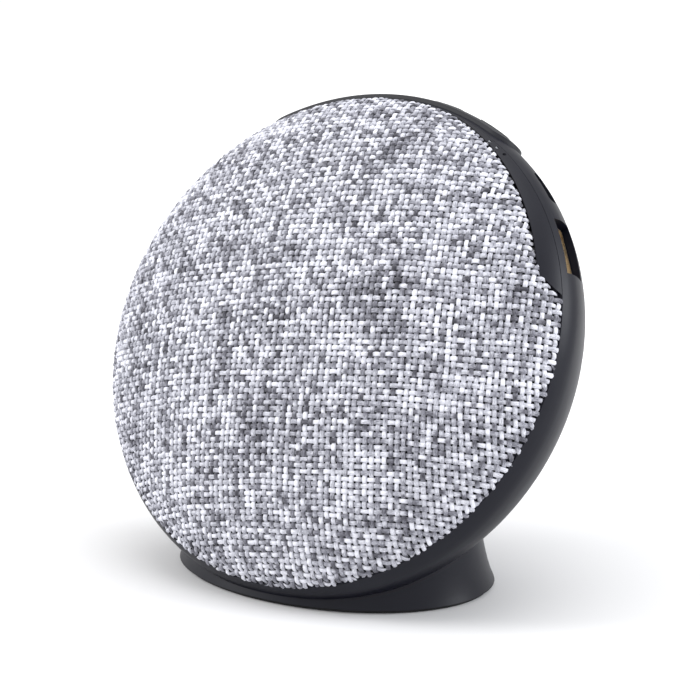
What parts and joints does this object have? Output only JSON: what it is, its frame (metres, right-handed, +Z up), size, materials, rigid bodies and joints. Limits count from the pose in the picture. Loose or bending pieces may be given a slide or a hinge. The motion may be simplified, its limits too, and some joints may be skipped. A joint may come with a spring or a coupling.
{
  "type": "portable speaker",
  "caption": "Round portable speaker with a domed fabric face leaning back on an oval foot, rim keypad, USB socket and charging slit.",
  "frame": {"origin": "middle of the foot pad's resting face", "axes": "+Z up, +X to the listener's right when facing the cloth, the cloth face looks towards -Y and leans back 27.5 degrees"},
  "size_m": [0.1284, 0.0797, 0.1168],
  "materials": {
    "cloth": "heathered plain weave of pale and dark grey yarns",
    "housing_plastic": "soft-touch blue-black, fine grain",
    "grille_plastic": "plain black moulding",
    "keypad_rubber": "smooth matt silicone",
    "key_plastic": "smooth matt key cap",
    "foot_rubber": "matt rubber",
    "socket_metal": "nickel-plated folded sheet",
    "insulator": "moulded nylon",
    "contact_gold": "gold-flashed spring strip",
    "board": "glass-epoxy board with solder mask",
    "chip": "moulded epoxy",
    "can": "drawn can",
    "lens": "clear moulded light pipe",
    "led": "ceramic chip",
    "screw_steel": "zinc-plated screw",
    "plunger": "moulded plunger",
    "basket_steel": "black pressed steel",
    "motor_steel": "plated steel",
    "ferrite": "ground ferrite",
    "gasket_foam": "closed-cell foam",
    "cone_paper": "coated paper",
    "surround_rubber": "butyl rubber",
    "spider_cloth": "resin-stiffened cloth",
    "former": "polyimide sleeve",
    "copper": "enamelled copper winding",
    "cell_wrap": "shrink wrap",
    "wire_insulation": "PVC insulation"
  },
  "bodies": {
    "housing": {"amplifier_chip": "chip", "base_plate": "grille_plastic", "base_screws": "screw_steel", "battery_cell": "cell_wrap", "battery_connector": "insulator", "battery_foam": "gasket_foam", "battery_wires": "wire_insulation", "bluetooth_chip": "chip", "board_screws": "screw_steel", "capacitors": "can", "driver_basket": "basket_steel", "driver_gasket": "gasket_foam", "driver_magnet": "ferrite", "driver_screws": "screw_steel", "driver_spider": "spider_cloth", "driver_surround": "surround_rubber", "driver_terminals": "board", "driver_top_plate": "motor_steel", "driver_yoke": "motor_steel", "fabric_cover": "cloth", "foot_pad": "foot_rubber", "front_shell": "housing_plastic", "grille": "grille_plastic", "housing_screws": "screw_steel", "keypad_strip": "keypad_rubber", "leds": "led", "light_pipes": "lens", "main_board": "board", "micro_usb_shell": "socket_metal", "micro_usb_tongue": "insulator", "microphone": "chip", "power_inductor": "chip", "rear_housing": "housing_plastic", "speaker_connector": "insulator", "speaker_wires": "wire_insulation", "switch_bodies": "chip", "usb_a_contacts": "contact_gold", "usb_a_shell": "socket_metal", "usb_a_tongue": "insulator"},
    "key_1": {"button_1": "key_plastic", "switch_plunger_1": "plunger"},
    "key_2": {"button_2": "key_plastic", "switch_plunger_2": "plunger"},
    "key_3": {"button_3": "key_plastic", "switch_plunger_3": "plunger"},
    "key_4": {"button_4": "key_plastic", "switch_plunger_4": "plunger"},
    "key_5": {"button_5": "key_plastic", "switch_plunger_5": "plunger"},
    "cone_set": {"cone": "cone_paper", "dust_cap": "cone_paper", "coil_former": "former", "voice_coil": "copper"}
  },
  "joints": [
    {"name": "key_1_press", "type": "slide", "parent": "housing", "child": "key_1", "axis": [0.4384, -0.415, -0.7972], "range_m": [0, 0.0004], "stiffness_N_per_m": 1500, "springref_m": -0.0004},
    {"name": "key_2_press", "type": "slide", "parent": "housing", "child": "key_2", "axis": [0.225, -0.4499, -0.8643], "range_m": [0, 0.0004], "stiffness_N_per_m": 1500, "springref_m": -0.0004},
    {"name": "key_3_press", "type": "slide", "parent": "housing", "child": "key_3", "axis": [0, -0.4617, -0.887], "range_m": [0, 0.0004], "stiffness_N_per_m": 1500, "springref_m": -0.0004},
    {"name": "key_4_press", "type": "slide", "parent": "housing", "child": "key_4", "axis": [-0.225, -0.4499, -0.8643], "range_m": [0, 0.0004], "stiffness_N_per_m": 1500, "springref_m": -0.0004},
    {"name": "key_5_press", "type": "slide", "parent": "housing", "child": "key_5", "axis": [-0.4384, -0.415, -0.7972], "range_m": [0, 0.0004], "stiffness_N_per_m": 1500, "springref_m": -0.0004},
    {"name": "cone_stroke", "type": "slide", "parent": "housing", "child": "cone_set", "axis": [0, -0.887, 0.4617], "range_m": [-0.0015, 0.0015], "stiffness_N_per_m": 1200, "deforming": ["driver_surround", "driver_spider"]}
  ]
}
